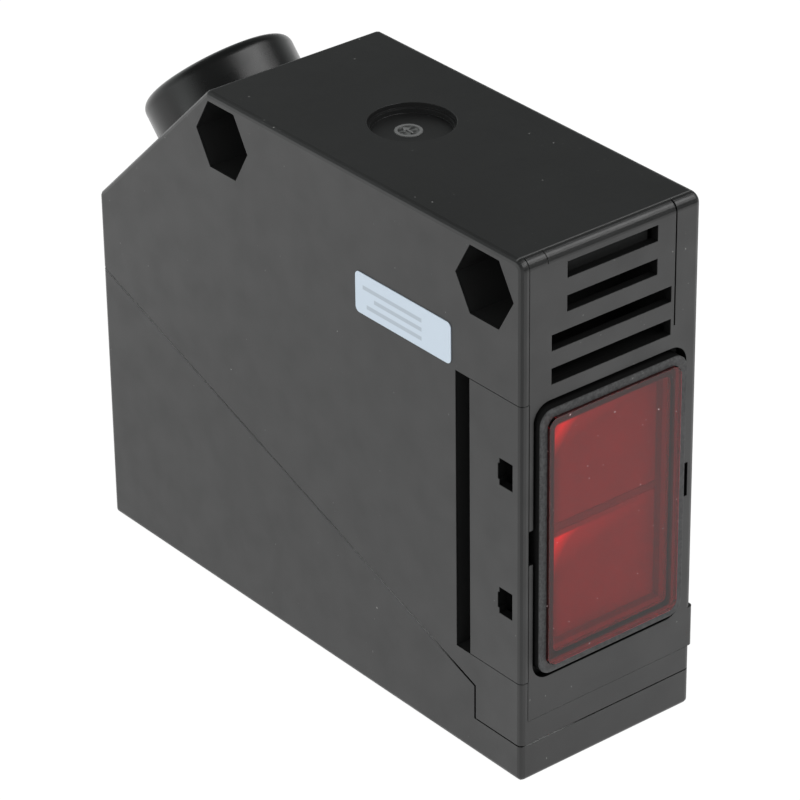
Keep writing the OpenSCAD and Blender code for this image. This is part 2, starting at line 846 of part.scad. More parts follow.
module optics_board() {
    color(board_green) difference() {
        front_plate(carrier_back, carrier_back + board_t)
            translate([0, window_z]) square([optics_board_w, optics_board_h], center = true);
        for (s = [-1, 1])
            translate([s * optics_screw_x, carrier_back + board_t + 1, window_z - s * optics_screw_z])
                rotate([90, 0, 0]) cylinder(r = board_hole_r, h = board_t + 2);
    }
}

// Screw through a board into the post or the carrier behind it
module board_screw() {
    pan_screw(board_screw_r, board_t + board_screw_in, board_screw_head_r, board_screw_head_h);
}

module optics_board_screws() {
    color(steel)
        for (s = [-1, 1])
            translate([s * optics_screw_x, carrier_back + board_t, window_z - s * optics_screw_z])
                rotate([90, 0, 0]) board_screw();
}

// Angled pins that join the optics board to the main board
module board_header() {
    pins = 5;
    pin = 0.6;
    y0 = carrier_back + board_t;
    y1 = main_board_y0 + 1.2;
    x0 = face_x - 2;
    color(brass)
        for (i = [0:pins - 1])
            translate([0, 0, window_z + (i - (pins - 1) / 2) * 2.54 + 9]) {
                box_between([x0, y0, 0], [x0 + pin, y1 + pin, pin]);
                box_between([x0, y1, 0], [face_x, y1 + pin, pin]);
            }
}

module main_board() {
    color(board_green) difference() {
        box_between([face_x, main_board_y0, main_board_z0],
                    [main_board_x, main_board_y1, main_board_z1]);
        for (z = post_z)
            translate([face_x - 1, post_y, z]) rotate([0, 90, 0])
                cylinder(r = board_hole_r, h = board_t + 2);
    }
}

module main_board_screws() {
    color(steel)
        for (z = post_z)
            translate([face_x, post_y, z]) rotate([0, 90, 0]) board_screw();
}

// Box of a component on the main board's inner face
module component(y, z, size) {
    box_between([face_x - size[0], y, z], [face_x, y + size[1], z + size[2]]);
}

core_size = [10, 13, 10];
core_leg = 1.8;
relay_size = [12, 0.6 * (main_board_y1 - main_board_y0), 9];
can_r = 3;
can_l = 9;
disc_r = 2.9;
core_z = main_board_z0 + 1;
core_y = main_board_y1 - 2 - core_size[1];
can_z = core_z + core_size[2] + part_gap + can_r;
can_y = main_board_y1 - 2 - can_r;
disc_y = can_y - can_r - part_gap - 1.2;
relay_z = can_z + can_r + part_gap;
relay_y = main_board_y1 - 2 - relay_size[1];
chip_size = [1.4, 5.4, 6];
chip_y = post_y + board_screw_head_r + part_gap;

module relay() {
    color([0.15, 0.2, 0.3]) component(relay_y, relay_z, relay_size);
}

module transformer_core() {
    color([0.2, 0.2, 0.22]) difference() {
        component(core_y, core_z, core_size);
        box_between([face_x - core_size[0] - 1, core_y + core_leg, core_z + core_leg],
                    [face_x + 1, core_y + core_size[1] - core_leg, core_z + core_size[2] - core_leg]);
    }
}

module transformer_coil() {
    color([0.75, 0.6, 0.2])
        box_between([face_x - core_size[0] - 1, core_y + core_leg + fit_gap,
                     core_z + core_leg + fit_gap],
                    [face_x, core_y + core_size[1] - core_leg - fit_gap,
                     core_z + core_size[2] - core_leg - fit_gap]);
}

module filter_capacitor() {
    color([0.1, 0.12, 0.3])
        translate([face_x, can_y, can_z]) rotate([0, -90, 0]) difference() {
            cylinder(r = can_r, h = can_l);
            translate([0, 0, can_l - 0.2]) cylinder(r = can_r - 0.8, h = 1);
        }
}

module surge_varistor() {
    lead = 2.2;
    color([0.2, 0.35, 0.75])
        translate([face_x - lead - disc_r, disc_y, can_z]) rotate([90, 0, 0]) {
            cylinder(r = disc_r, h = 2.4, center = true);
            for (s = [-1, 1])
                translate([(disc_r + lead) / 2, s * 1.8, 0])
                    cube([disc_r + lead, 0.6, 0.6], center = true);
        }
}

module control_chip() {
    color([0.08, 0.08, 0.09]) translate([main_board_x, chip_y, can_z - chip_size[2] / 2])
        cube(chip_size);
}

block_foot = seam_gap / 2 - block_h;
clamp_rise = 2.9;
clamp_z = block_foot + clamp_rise;
clamp_size = [3, 4.6, 4];
clamp_pin_r = 0.45;
terminal_screw_r = 0.8;
terminal_head_r = 1.5;

module terminal_block() {
    block_w = poles * pole_pitch;
    color([0.16, 0.16, 0.17]) on_seam(block_v) difference() {
        translate([-block_w / 2, -block_d / 2, block_foot])
            cube([block_w, block_d, block_h]);
        for (i = [0:poles - 1])
            translate([pole_x(i), 0, 0]) {
                // screw well
                translate([0, 0, block_foot - 1]) cylinder(r = terminal_head_r + 0.2, h = clamp_rise + 1.1);
                // room for the clamp, open towards the wires
                translate([-clamp_size[0] / 2 - fit_gap, -clamp_size[1] / 2 - fit_gap, clamp_z])
                    cube([clamp_size[0] + 2 * fit_gap, block_d, clamp_size[2] + 2 * fit_gap]);
                // pin hole
                cylinder(r = clamp_pin_r + 0.05, h = 6, center = true);
            }
    }
}

module terminal_clamps() {
    color(steel) on_seam(block_v)
        for (i = [0:poles - 1])
            translate([pole_x(i), 0, clamp_z]) {
                difference() {
                    translate([-clamp_size[0] / 2, -clamp_size[1] / 2, fit_gap]) cube(clamp_size);
                    translate([-0.9, -3, 1.5]) cube([1.8, 6, 1.8]);
                    translate([0, 0, -1]) cylinder(r = terminal_screw_r + 0.05, h = 2.6);
                }
                translate([0, 0, clamp_size[2]])
                    cylinder(r = clamp_pin_r, h = block_h - clamp_rise - clamp_size[2] + floor_t + 2);
            }
}

module terminal_screws() {
    color(steel) on_seam(block_v)
        for (i = [0:poles - 1])
            translate([pole_x(i), 0, clamp_z]) difference() {
                union() {
                    cylinder(r = terminal_screw_r, h = 2);
                    translate([0, 0, -1.6]) cylinder(r = terminal_head_r, h = 1.6);
                }
                translate([0, 0, -1.7]) cube([4, 0.4, 1.2], center = true);
            }
}

control_face = seam_gap / 2 - control_t;

module control_board() {
    color(board_green) on_seam(control_v)
        translate([-control_w / 2, -control_d / 2, control_face]) cube([control_w, control_d, control_t]);
}

module trimmer_body() {
    color([0.15, 0.3, 0.7]) on_seam(control_v) difference() {
        translate([trimmer_x - trimmer_side / 2, -trimmer_side / 2, control_face - trimmer_h])
            cube([trimmer_side, trimmer_side, trimmer_h]);
        translate([trimmer_x, 0, control_face - trimmer_h - 1])
            cylinder(r = rotor_r + run_clear, h = 1 + 2.5);
    }
}

module trimmer_rotor() {
    color([0.9, 0.9, 0.88]) on_seam(control_v)
        translate([trimmer_x, 0, control_face - trimmer_h - 0.8]) difference() {
            cylinder(r = rotor_r, h = 0.8 + 2.5 - run_clear);
            translate([0, 0, 0.3]) cube([2 * rotor_r + 1, 0.6, 1.4], center = true);
        }
}

module switch_body() {
    color([0.12, 0.12, 0.13]) on_seam(control_v) difference() {
        translate([switch_x - switch_w / 2, -switch_d / 2, control_face - switch_h])
            cube([switch_w, switch_d, switch_h]);
        translate([switch_x - (slider_w + switch_travel) / 2 - run_clear,
                   -slider_w / 2 - run_clear, control_face - switch_h - 1])
            cube([slider_w + switch_travel + 2 * run_clear, slider_w + 2 * run_clear, 1 + 2]);
    }
}

module switch_slider() {
    color([0.85, 0.85, 0.85]) on_seam(control_v)
        translate([switch_x - (slider_w + switch_travel) / 2, -slider_w / 2,
                   control_face - switch_h - 1.6])
            cube([slider_w, slider_w, 1.6 + 2 - run_clear]);
}

module gland_body() {
    color(satin) on_slope() rotate_extrude() difference() {
        union() {
            square([collar_r, collar_h - collar_round]);
            square([collar_r - collar_round, collar_h]);
            translate([collar_r - collar_round, collar_h - collar_round]) circle(collar_round, $fn = 48);
            translate([0, -shank_l]) square([shank_r, shank_l + 1]);
        }
        // mouth for the pressure screw, then the seat of the sealing ring
        translate([-1, gland_seat]) square([seal_r + 1, collar_h - gland_seat + 1]);
        translate([-1, -shank_l - 1]) square([cable_r + 2, shank_l + 1]);
    }
}

module gland_ring(r_out, r_in, z0, height) {
    translate([0, 0, z0]) difference() {
        cylinder(r = r_out, h = height);
        translate([0, 0, -1]) cylinder(r = r_in, h = height + 2);
    }
}

module gland_seal() {
    color(rubber) on_slope() gland_ring(seal_r - fit_gap, cable_r, gland_seat, gland_seal_l);
}

module gland_washer() {
    color(steel) on_slope()
        gland_ring(seal_r - fit_gap, cable_r + 0.8, gland_seat + gland_seal_l, gland_washer_t);
}

module gland_screw() {
    z0 = gland_seat + gland_seal_l + gland_washer_t;
    color(satin) on_slope() difference() {
        gland_ring(seal_r - fit_gap, cable_r + 1, z0, gland_screw_l);
        // wrench socket
        translate([0, 0, z0 + 1]) cylinder(r = cable_r + 2.6, h = gland_screw_l, $fn = 6);
    }
}

module gland_locknut() {
    color(satin) on_slope() translate([0, 0, -slope_wall - locknut_t]) difference() {
        cylinder(r = locknut_af / 2 / cos(30), h = locknut_t, $fn = 6);
        translate([0, 0, -1]) cylinder(r = shank_r + 0.05, h = locknut_t + 2);
    }
}

label_y = front_y + 24.25;
label_z = body_h - 17.6;

module type_label() {
    color([0.8, 0.85, 0.9]) translate([-half_w - label_t / 2, label_y, label_z])
        on_side_profile(label_t) rounded_rect(label_w, label_h, 0.8);
}

housing();
terminal_cover();
cover_seal();
cover_screws();
threaded_inserts();
front_frame();
window_bezel();
window_pane();
window_gasket();
optics_carrier();
carrier_screws();
emitter_filter();
receiver_filter();
emitter_lens();
receiver_lens();
emitter_led();
photodiode();
receiver_shield();
optics_board();
optics_board_screws();
board_header();
main_board();
main_board_screws();
relay();
transformer_core();
transformer_coil();
filter_capacitor();
surge_varistor();
control_chip();
terminal_block();
terminal_clamps();
terminal_screws();
control_board();
trimmer_body();
trimmer_rotor();
switch_body();
switch_slider();
gland_body();
gland_seal();
gland_washer();
gland_screw();
gland_locknut();
type_label();
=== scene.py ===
"""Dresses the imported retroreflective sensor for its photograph: materials, light and camera."""
import math

import bpy
from mathutils import Matrix, Vector


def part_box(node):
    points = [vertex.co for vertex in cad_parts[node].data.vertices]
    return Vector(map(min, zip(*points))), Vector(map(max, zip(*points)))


MM = 0.001

# The camera, fitted to the photograph
AZIMUTH = math.radians(-38.865)
ELEVATION = math.radians(29.679)
ROLL = math.radians(-0.733)
TARGET = Vector((1.293, -1.042, 33.998)) * MM
DISTANCE = 608.43 * MM
SENSOR = 36.0
FOCAL_PX = 4293.0
IMAGE_PX = 800

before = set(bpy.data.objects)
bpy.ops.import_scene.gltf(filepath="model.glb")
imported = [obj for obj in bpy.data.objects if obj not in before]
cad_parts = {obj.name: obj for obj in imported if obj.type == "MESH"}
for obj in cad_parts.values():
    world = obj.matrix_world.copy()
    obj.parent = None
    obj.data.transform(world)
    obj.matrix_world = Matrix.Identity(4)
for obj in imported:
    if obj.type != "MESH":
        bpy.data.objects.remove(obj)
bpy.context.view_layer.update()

# Where the pieces lie
housing_low, housing_high = (Vector(corner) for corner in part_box("housing"))
frame_low = Vector(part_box("front_frame")[0])
bezel_low, bezel_high = (Vector(corner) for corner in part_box("window_bezel"))
label_low, label_high = (Vector(corner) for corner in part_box("type_label"))
pane_low, pane_high = (Vector(corner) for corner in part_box("window_pane"))
emitter_low, emitter_high = (Vector(corner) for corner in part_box("emitter_filter"))
receiver_low, receiver_high = (Vector(corner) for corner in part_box("receiver_filter"))
FACE, REAR, TOP = frame_low.y, housing_high.y, housing_high.z
SIDE = -housing_low.x

# Forms within the pieces, at the sizes of the solids
SEAT = FACE + 1.3 * MM
RECESS_FLOOR = TOP - 1.4 * MM
RECESS_Y = -6 * MM
RECESS_RADIUS = 6.15 * MM
STAMP_X, STAMP_Y = -0.3 * MM, RECESS_Y + 0.4 * MM
SLOPE_RUN, SLOPE_DROP = 27 * MM, 26 * MM
SLOPE_NORMAL = Vector((0, SLOPE_DROP, SLOPE_RUN)).normalized()
SEAM_START_Y, SEAM_START_Z = -37.4 * MM, 11.1 * MM
SEAM_RISE = math.radians(20.1)
TOE_HEIGHT = 5.8 * MM

# Reach of the masks over the slots and over the date stamp
SLOTS_HALF_WIDTH = 13.9 * MM
SLOTS_TOP = TOP - 1.9 * MM
STAMP_RADIUS = 2.05 * MM
STAMP_HEIGHT = 0.3 * MM

# Colours that are used more than once or blended in
BODY_BLACK = (0.005, 0.0051, 0.0051)
SEAM_LIP = (0.21, 0.21, 0.21)
DUST_GREY = (0.3, 0.3, 0.29)
PANE_DUST = (0.75, 0.6, 0.6)
FILTER_RED = (0.148, 0.07, 0.07)
FILTER_SHADE = (0.01, 0.004, 0.004)
WEDGE_RED = (1.0, 0.35, 0.35)
LABEL_PRINT = (0.1, 0.11, 0.12)
WHITE = (1.0, 1.0, 1.0)

# Bars on the label: start and end along it, bottom and top up it, as shares of its size
LABEL_BARS = ((0.30, 0.92, 0.62, 0.72), (0.30, 0.80, 0.40, 0.50), (0.30, 0.88, 0.18, 0.28))

# Level directions from the object. To the camera, its front mirrors what lies at the front right
# and its large left side what lies at the rear left.
FRONT_RIGHT = (0.63, -0.777)
FRONT_LEFT = (-0.777, -0.629)
REAR_LEFT = (-0.63, 0.777)
REAR_RIGHT = (0.63, 0.777)

# Edge of the floor, in metres
FLOOR_SIZE = 6.0


class Nodes:
    """A small builder for one material's or world's node tree."""

    def __init__(self, tree):
        self.tree = tree
        tree.nodes.clear()

    def add(self, kind, inputs=None, **settings):
        node = self.tree.nodes.new(kind)
        for key, value in settings.items():
            setattr(node, key, value)
        for key, value in (inputs or {}).items():
            self.feed(node.inputs[key], value)
        return node

    def feed(self, socket, value):
        """Links a socket to another one, or sets it to a plain value."""
        if isinstance(value, bpy.types.NodeSocket):
            self.tree.links.new(value, socket)
        else:
            socket.default_value = value

    def math(self, operation, a, b=0.0):
        return self.add("ShaderNodeMath", {0: a, 1: b}, operation=operation).outputs[0]

    def chain(self, operation, values):
        result = values[0]
        for value in values[1:]:
            result = self.math(operation, result, value)
        return result

    def product(self, *values):
        return self.chain("MULTIPLY", values)

    def total(self, *values):
        return self.chain("ADD", values)

    def highest(self, *values):
        return self.chain("MAXIMUM", values)

    def minus(self, a, b):
        return self.math("SUBTRACT", a, b)

    def along(self, first, second, direction):
        """How far a point lies in a direction, both given by the same two coordinates."""
        return self.total(self.product(first, direction[0]), self.product(second, direction[1]))

    def distance(self, first, second, centre):
        """How far a point lies from a centre, both given by the same two coordinates."""
        across, up = self.minus(first, centre[0]), self.minus(second, centre[1])
        return self.math("SQRT", self.total(self.product(across, across), self.product(up, up)))

    def mix(self, factor, a, b):
        """Blends two colours, from a at factor 0 to b at factor 1."""
        node = self.add("ShaderNodeMix", data_type="RGBA")
        for key, value in (("Factor", factor), ("A", a), ("B", b)):
            kind = "VALUE" if key == "Factor" else "RGBA"
            self.feed(next(s for s in node.inputs if s.name == key and s.type == kind), value)
        return next(s for s in node.outputs if s.type == "RGBA")

    def blend(self, factor, a, b):
        """Blends two numbers, from a at factor 0 to b at factor 1."""
        return self.add("ShaderNodeMix", {"Factor": factor, "A": a, "B": b}).outputs[0]

    def ramp(self, value, low, high, to_low=0.0, to_high=1.0):
        node = self.add("ShaderNodeMapRange", {"Value": value, "From Min": low, "From Max": high,
                                               "To Min": to_low, "To Max": to_high})
        return node.outputs["Result"]

    def between(self, value, low, high, soft):
        """1 where value lies between low and high, falling to 0 over soft."""
        rise = self.ramp(value, low - soft / 2, low + soft / 2)
        fall = self.ramp(value, high - soft / 2, high + soft / 2, 1.0, 0.0)
        return self.product(rise, fall)

    def noise(self, where, grain, detail=2.0, rough=0.5):
        """Noise whose grain is a length in metres."""
        node = self.add("ShaderNodeTexNoise", {"Vector": where, "Scale": 1 / grain, "Detail": detail,
                                               "Roughness": rough})
        return node.outputs["Fac"]

    def bump(self, height, depth, normal=None):
        """A bumped normal, over the piece's own one or over the one that is given."""
        inputs = {"Height": height, "Distance": depth}
        if normal is not None:
            inputs["Normal"] = normal
        return self.add("ShaderNodeBump", inputs).outputs[0]

    def place(self):
        """Object coordinates in metres, and their x, y and z."""
        where = self.add("ShaderNodeTexCoord").outputs["Object"]
        x, y, z = self.add("ShaderNodeSeparateXYZ", {0: where}).outputs
        return where, x, y, z

    def surface(self, **inputs):
        """A Principled shader as the material's surface. Its inputs are named with _ for spaces."""
        named = {key.replace("_", " "): value for key, value in inputs.items()}
        shader = self.add("ShaderNodeBsdfPrincipled", named)
        self.add("ShaderNodeOutputMaterial", {"Surface": shader.outputs["BSDF"]})


def rgba(colour, factor=1.0):
    """A colour with full alpha, made darker or lighter by a factor."""
    return (*(part * factor for part in colour), 1.0)


def new_material(name):
    material = bpy.data.materials.new(name)
    material.use_nodes = True
    return material, Nodes(material.node_tree)


def moulded_plastic(name, colour, roughness, grain=0.25 * MM, depth=0.006 * MM, edge=0.0, dust=0.0,
                    specular=0.5, hollow=None, hollow_tone=0.006, marks=(), speckle=0.0):
    """Moulded plastic: fine grain, slow tone changes, rounded edges and a few dust specks.

    hollow(nodes, x, y, z) is a mask of unlit depths, which get painted shade: the near-black hollow_tone
    and little shine. marks are pairs of such a mask and a colour.
    """
    material, n = new_material(name)
    where, x, y, z = n.place()
    tone = n.ramp(n.noise(where, 18 * MM, 3.0), 0.35, 0.65)
    base = n.mix(tone, rgba(colour, 0.85), rgba(colour, 1.15))
    if speckle:
        spots = n.ramp(n.noise(where, 0.28 * MM), 0.4, 0.6, 0.0, speckle)
        base = n.mix(spots, base, rgba(colour, 3.0))
    if dust:
        specks = n.ramp(n.noise(where, 0.55 * MM, 1.0), 0.80 - dust, 0.84 - dust)
        patches = n.ramp(n.noise(where, 9 * MM), 0.5, 0.62)
        base = n.mix(n.product(specks, patches, 0.7), base, rgba(DUST_GREY))
    for mask, tint in marks:
        base = n.mix(mask(n, x, y, z), base, rgba(tint))
    rough = n.ramp(n.noise(where, 5 * MM, 4.0), 0.3, 0.7, roughness - 0.05, roughness + 0.05)
    rounded = n.add("ShaderNodeBevel", {"Radius": edge}, samples=4).outputs[0] if edge else None
    normal = n.bump(n.noise(where, grain, 2.0, 0.6), depth, rounded)
    shine = specular
    if hollow:
        # painted shade: the unlit depths turn near black and lose their shine
        deep = hollow(n, x, y, z)
        base = n.mix(deep, base, rgba((hollow_tone, hollow_tone, hollow_tone)))
        shine = n.ramp(deep, 0.0, 1.0, specular, 0.05)
    n.surface(Base_Color=base, Roughness=rough, Normal=normal, Specular_IOR_Level=shine)
    return material


def metal(name, colour, roughness):
    """Plated or machined metal with faint tool streaks, which run level."""
    material, n = new_material(name)
    where = n.place()[0]
    streak = (1.0, 1.0, 8.0)
    stretched = n.add("ShaderNodeVectorMath", {0: where, 1: streak}, operation="MULTIPLY").outputs[0]
    lines = n.noise(stretched, 0.4 * MM, 3.0)
    rough = n.ramp(lines, 0.3, 0.7, roughness - 0.06, roughness + 0.06)
    n.surface(Base_Color=n.mix(lines, rgba(colour, 0.88), rgba(colour)), Metallic=1.0, Roughness=rough,
              Normal=n.bump(lines, 0.004 * MM))
    return material


def circuit_board(name, colour):
    """Solder mask over copper tracks: a faint square pattern under a lacquer."""
    material, n = new_material(name)
    where = n.place()[0]
    cells = n.add("ShaderNodeTexVoronoi", {"Vector": where, "Scale": 1 / (1.6 * MM)},
                  distance="CHEBYCHEV").outputs["Distance"]
    base = n.mix(n.ramp(cells, 0.3, 0.45), rgba(colour), rgba(colour, 0.6))
    n.surface(Base_Color=base, Roughness=0.3, Normal=n.bump(cells, 0.02 * MM))
    return material


def red_pane(name, colour, low, high, rim, near_rim):
    """Clear dark red window with a faint haze, and opaque edges in painted light and shade.

    The camera sees the rim, in painted light, through it and the near_rim, in painted shade, from
    outside. Painted red light lies over the margin of its front, stronger along the right and lower
    edges.
    """
    material, n = new_material(name)
    where, x, y, z = n.place()
    skin, inner = 0.03 * MM, 0.05 * MM
    far_edges = n.highest(n.ramp(x, high.x - inner, high.x - skin),
                          n.ramp(z, low.z + inner, low.z + skin))
    near_edges = n.highest(n.ramp(x, low.x + inner, low.x + skin),
                           n.ramp(z, high.z - inner, high.z - skin))
    right = n.product(n.ramp(x, high.x - 1.7 * MM, high.x - 0.95 * MM, 0.0, 0.065),
                      n.ramp(x, high.x - 0.75 * MM, high.x - 0.45 * MM, 1.0, 0.1))
    lower = n.product(n.ramp(z, low.z + 1.4 * MM, low.z + 0.7 * MM, 0.0, 0.085),
                      n.ramp(z, low.z + 0.6 * MM, low.z + 0.4 * MM, 1.0, 0.1))
    left = n.ramp(x, low.x + 1.0 * MM, low.x + 0.9 * MM, 0.0, 0.018)
    upper = n.ramp(z, high.z - 1.0 * MM, high.z - 0.9 * MM, 0.0, 0.018)
    on_front = n.ramp(y, low.y + 0.06 * MM, low.y + 0.03 * MM)
    # painted red light over the margin of the pane's front
    painted_margin_light = n.product(n.highest(left, upper, right, lower), on_front)
    dust = n.ramp(n.noise(where, 0.5 * MM, 1.0), 0.79, 0.81, 0.0, 0.7)
    opaque = n.highest(far_edges, near_edges, painted_margin_light, dust)
    base = n.mix(n.noise(where, 6 * MM, 3.0), rgba(colour), rgba(colour, 0.93))
    base = n.mix(far_edges, base, rgba(rim))
    base = n.mix(near_edges, base, rgba(near_rim))
    base = n.mix(dust, base, rgba(PANE_DUST))
    clear = n.ramp(opaque, 0.0, 1.0, 1.0, 0.0)
    n.surface(Base_Color=base, Roughness=0.03, IOR=1.38, Transmission_Weight=clear)
    return material


def light_filter(name, colour, corner, wide, tall, bend, glow):
    """Matt red filter behind the pane, with a bright wedge in the corner where light strikes it.

    A bend below 1 makes the wedge's long side hollow. The left edge lies in soft shade.
    """
    material, n = new_material(name)
    where, x, y, z = n.place()
    left, top = corner
    across = n.math("POWER", n.ramp(x, left, left + wide), bend)
    down = n.math("POWER", n.ramp(z, top, top - tall), bend)
    wedge = n.ramp(n.total(across, down), 1.0, 0.45)
    far_off = n.total(n.ramp(x, left, left + 3 * wide), n.ramp(z, top, top - 0.8 * tall))
    tail = n.ramp(far_off, 1.0, 0.1, 0.0, 0.2)
    below_top = n.ramp(z, top + 0.2 * MM, top - 0.1 * MM)
    lit = n.product(n.highest(wedge, tail), below_top)
    shade = n.product(n.ramp(x, left - 0.1 * MM, left + 1.1 * MM, 0.62, 0.0),
                      n.ramp(lit, 0.1, 1.0, 1.0, 0.4))
    mottle = n.ramp(n.noise(where, 5 * MM, 3.0), 0.3, 0.7)
    base = n.mix(mottle, rgba(colour), rgba(colour, 0.85))
    base = n.mix(lit, base, rgba(glow))
    base = n.mix(shade, base, rgba(FILTER_SHADE))
    n.surface(Base_Color=base, Roughness=0.5)
    return material


def printed_label(name, colour, low, high):
    """Pale film with generic printed bars, which are no text."""
    material, n = new_material(name)
    where, x, y, z = n.place()
    length, height = high.y - low.y, high.z - low.z
    soft = 0.05 * MM
    bars = n.highest(*(n.product(n.between(y, low.y + start * length, low.y + end * length, soft),
                                 n.between(z, low.z + bottom * height, low.z + top * height, soft))
                       for start, end, bottom, top in LABEL_BARS))
    base = n.mix(n.product(bars, 0.35), rgba(colour), rgba(LABEL_PRINT))
    fibre = n.noise(where, 0.3 * MM)
    n.surface(Base_Color=base, Roughness=0.38, Normal=n.bump(fibre, 0.003 * MM))
    return material


def frame_depths(n, x, y, z):
    """Painted shade in the slots and the window opening, and in the square holes in the wings."""
    slots = n.product(n.ramp(y, FACE + 0.06 * MM, FACE + 0.2 * MM),
                      n.between(x, -SLOTS_HALF_WIDTH, SLOTS_HALF_WIDTH, 0.1 * MM),
                      n.ramp(z, SLOTS_TOP + 0.2 * MM, SLOTS_TOP))
    holes = n.product(n.between(x, -SIDE + 0.12 * MM, SIDE - 0.12 * MM, 0.05 * MM),
                      n.ramp(y, SEAT - 0.1 * MM, SEAT + 0.1 * MM))
    return n.highest(slots, holes)


def recess_wall(n, x, y, z):
    """The stepped wall of the round recess, which stays in its own shade."""
    radius = n.distance(x, y, (0.0, RECESS_Y))
    return n.product(n.between(radius, RECESS_RADIUS - 0.55 * MM, RECESS_RADIUS + 0.1 * MM, 0.05 * MM),
                     n.between(z, RECESS_FLOOR + 0.04 * MM, TOP - 0.06 * MM, 0.04 * MM))


def housing_depths(n, x, y, z):
    """Painted shade: the recess's wall, and everything well inside the housing's outer faces below its
    floor.
    """
    off_slope = n.along(n.minus(y, REAR - SLOPE_RUN), n.minus(z, TOP), SLOPE_NORMAL.yz)
    inside = n.product(n.between(x, -SIDE + 0.25 * MM, SIDE - 0.25 * MM, 0.1 * MM),
                       n.between(y, FACE + 0.5 * MM, REAR - 0.5 * MM, 0.1 * MM),
                       n.ramp(z, RECESS_FLOOR - 0.3 * MM, RECESS_FLOOR - 0.5 * MM),
                       n.ramp(off_slope, -0.4 * MM, -0.7 * MM))
    return n.highest(inside, n.product(recess_wall(n, x, y, z), 0.75))


def cover_depths(n, x, y, z):
    """Painted shade on everything well inside the cover's outer faces."""
    return n.product(n.between(x, -SIDE + 0.25 * MM, SIDE - 0.25 * MM, 0.1 * MM),
                     n.between(y, FACE + 0.3 * MM, REAR - 0.3 * MM, 0.1 * MM),
                     n.ramp(z, 0.6 * MM, 0.8 * MM))


def seam_lips(n, x, y, z):
    """Painted light on the edges of the seam, because the real one is all but closed above its lower end.
    """
    off_seam = n.along(n.minus(y, SEAM_START_Y), n.minus(z, SEAM_START_Z),
                       (-math.sin(SEAM_RISE), math.cos(SEAM_RISE)))
    middle = n.highest(n.ramp(y, -16 * MM, -6 * MM, 1.0, 0.7), n.ramp(y, 18 * MM, 32 * MM, 0.7, 1.0))
    return n.product(n.between(off_seam, -0.2 * MM, 0.2 * MM, 0.01 * MM),
                     n.between(x, -SIDE + 0.015 * MM, SIDE - 0.015 * MM, 0.01 * MM),
                     n.ramp(y, REAR - 0.01 * MM, REAR - 0.02 * MM),
                     n.ramp(y, SEAM_START_Y + 4 * MM, SEAM_START_Y + 9.5 * MM), middle)


def toe_lips(n, x, y, z):
    """Painted light on the left part of the joint over the cover's toe, as the real one is closed there.
    """
    return n.product(n.between(z, TOE_HEIGHT - 0.13 * MM, TOE_HEIGHT + 0.13 * MM, 0.01 * MM),
                     n.between(y, FACE + 0.02 * MM, FACE + 1 * MM, 0.01 * MM),
                     n.ramp(x, -15 * MM, -14 * MM), n.ramp(x, -9 * MM, -4 * MM, 1.0, 0.0))


def bezel_depths(n, x, y, z):
    """Painted shade in the joint round the bezel, and painted shade that dims the shine of its right
    edge.
    """
    painted_edge_shade = n.product(n.ramp(x, bezel_high.x - 0.25 * MM, bezel_high.x - 0.1 * MM),
                     n.ramp(z, bezel_low.z + 25 * MM, bezel_high.z, 0.1, 0.5))
    return n.highest(painted_edge_shade, n.ramp(y, bezel_low.y + 0.08 * MM, bezel_low.y + 0.25 * MM))


def stamp_disc(n, x, y, z):
    """The lighter disc under the date stamp, mottled inside a plain ring."""
    radius = n.distance(x, y, (STAMP_X, STAMP_Y))
    where = n.add("ShaderNodeCombineXYZ", {0: x, 1: y, 2: z}).outputs[0]
    mottle = n.ramp(n.noise(where, 0.5 * MM), 0.4, 0.56, 0.12, 0.9)
    ring = n.ramp(radius, 1.4 * MM, 1.55 * MM)
    return n.product(n.ramp(radius, STAMP_RADIUS, STAMP_RADIUS - 0.1 * MM), n.highest(mottle, ring),
                     n.between(z, RECESS_FLOOR - 0.05 * MM, RECESS_FLOOR + STAMP_HEIGHT, 0.04 * MM))


def date_stamp(n, x, y, z):
    """The raised figure on the recess's floor."""
    radius = n.distance(x, y, (STAMP_X, STAMP_Y))
    return n.product(n.ramp(radius, STAMP_RADIUS, STAMP_RADIUS - 0.05 * MM),
                     n.between(z, RECESS_FLOOR + 0.06 * MM, RECESS_FLOOR + STAMP_HEIGHT, 0.04 * MM))


def well_walls(n, x, y, z):
    """Walls of the shallow well behind the pane, which catch red light."""
    inset, soft = 1.5 * MM, 0.05 * MM
    return n.product(n.between(y, pane_high.y + 0.35 * MM, pane_high.y + 1.2 * MM, 0.1 * MM),
                     n.between(x, pane_low.x + inset, pane_high.x - inset, soft),
                     n.between(z, pane_low.z + inset, pane_high.z - inset, soft))


def seat_highlight(n, x, y, z):
    """Painted highlight along the housing's edge behind the front frame."""
    return n.product(n.between(y, SEAT + 0.05 * MM, SEAT + 0.3 * MM, 0.05 * MM),
                     n.ramp(z, TOP - 0.3 * MM, TOP - 0.1 * MM))


